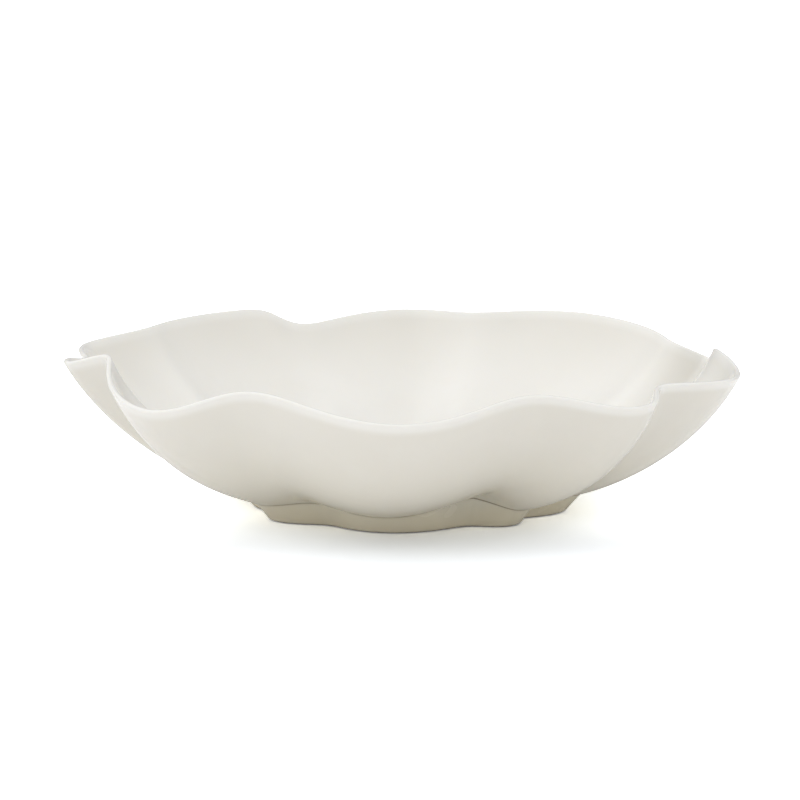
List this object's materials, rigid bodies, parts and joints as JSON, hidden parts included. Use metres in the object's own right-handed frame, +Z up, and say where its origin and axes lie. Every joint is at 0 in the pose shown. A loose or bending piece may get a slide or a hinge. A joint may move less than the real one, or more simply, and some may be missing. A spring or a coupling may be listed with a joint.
{
  "type": "serving bowl",
  "caption": "Wide shallow porcelain serving bowl with a softly folded, petal-like wall, a wavy lip and a low lobed foot ring.",
  "frame": {"origin": "middle of the bowl's plan box, on the plane that the foot ring stands on", "axes": "+Z up, out of the bowl's mouth; -Y towards the front, +X to the right seen from the front"},
  "size_m": [0.3526, 0.3638, 0.0878],
  "materials": {
    "cream_glaze": "gloss",
    "foot_glaze": "satin"
  },
  "bodies": {
    "root": {"bowl_body": "cream_glaze", "foot_ring": "foot_glaze"}
  },
  "joints": []
}
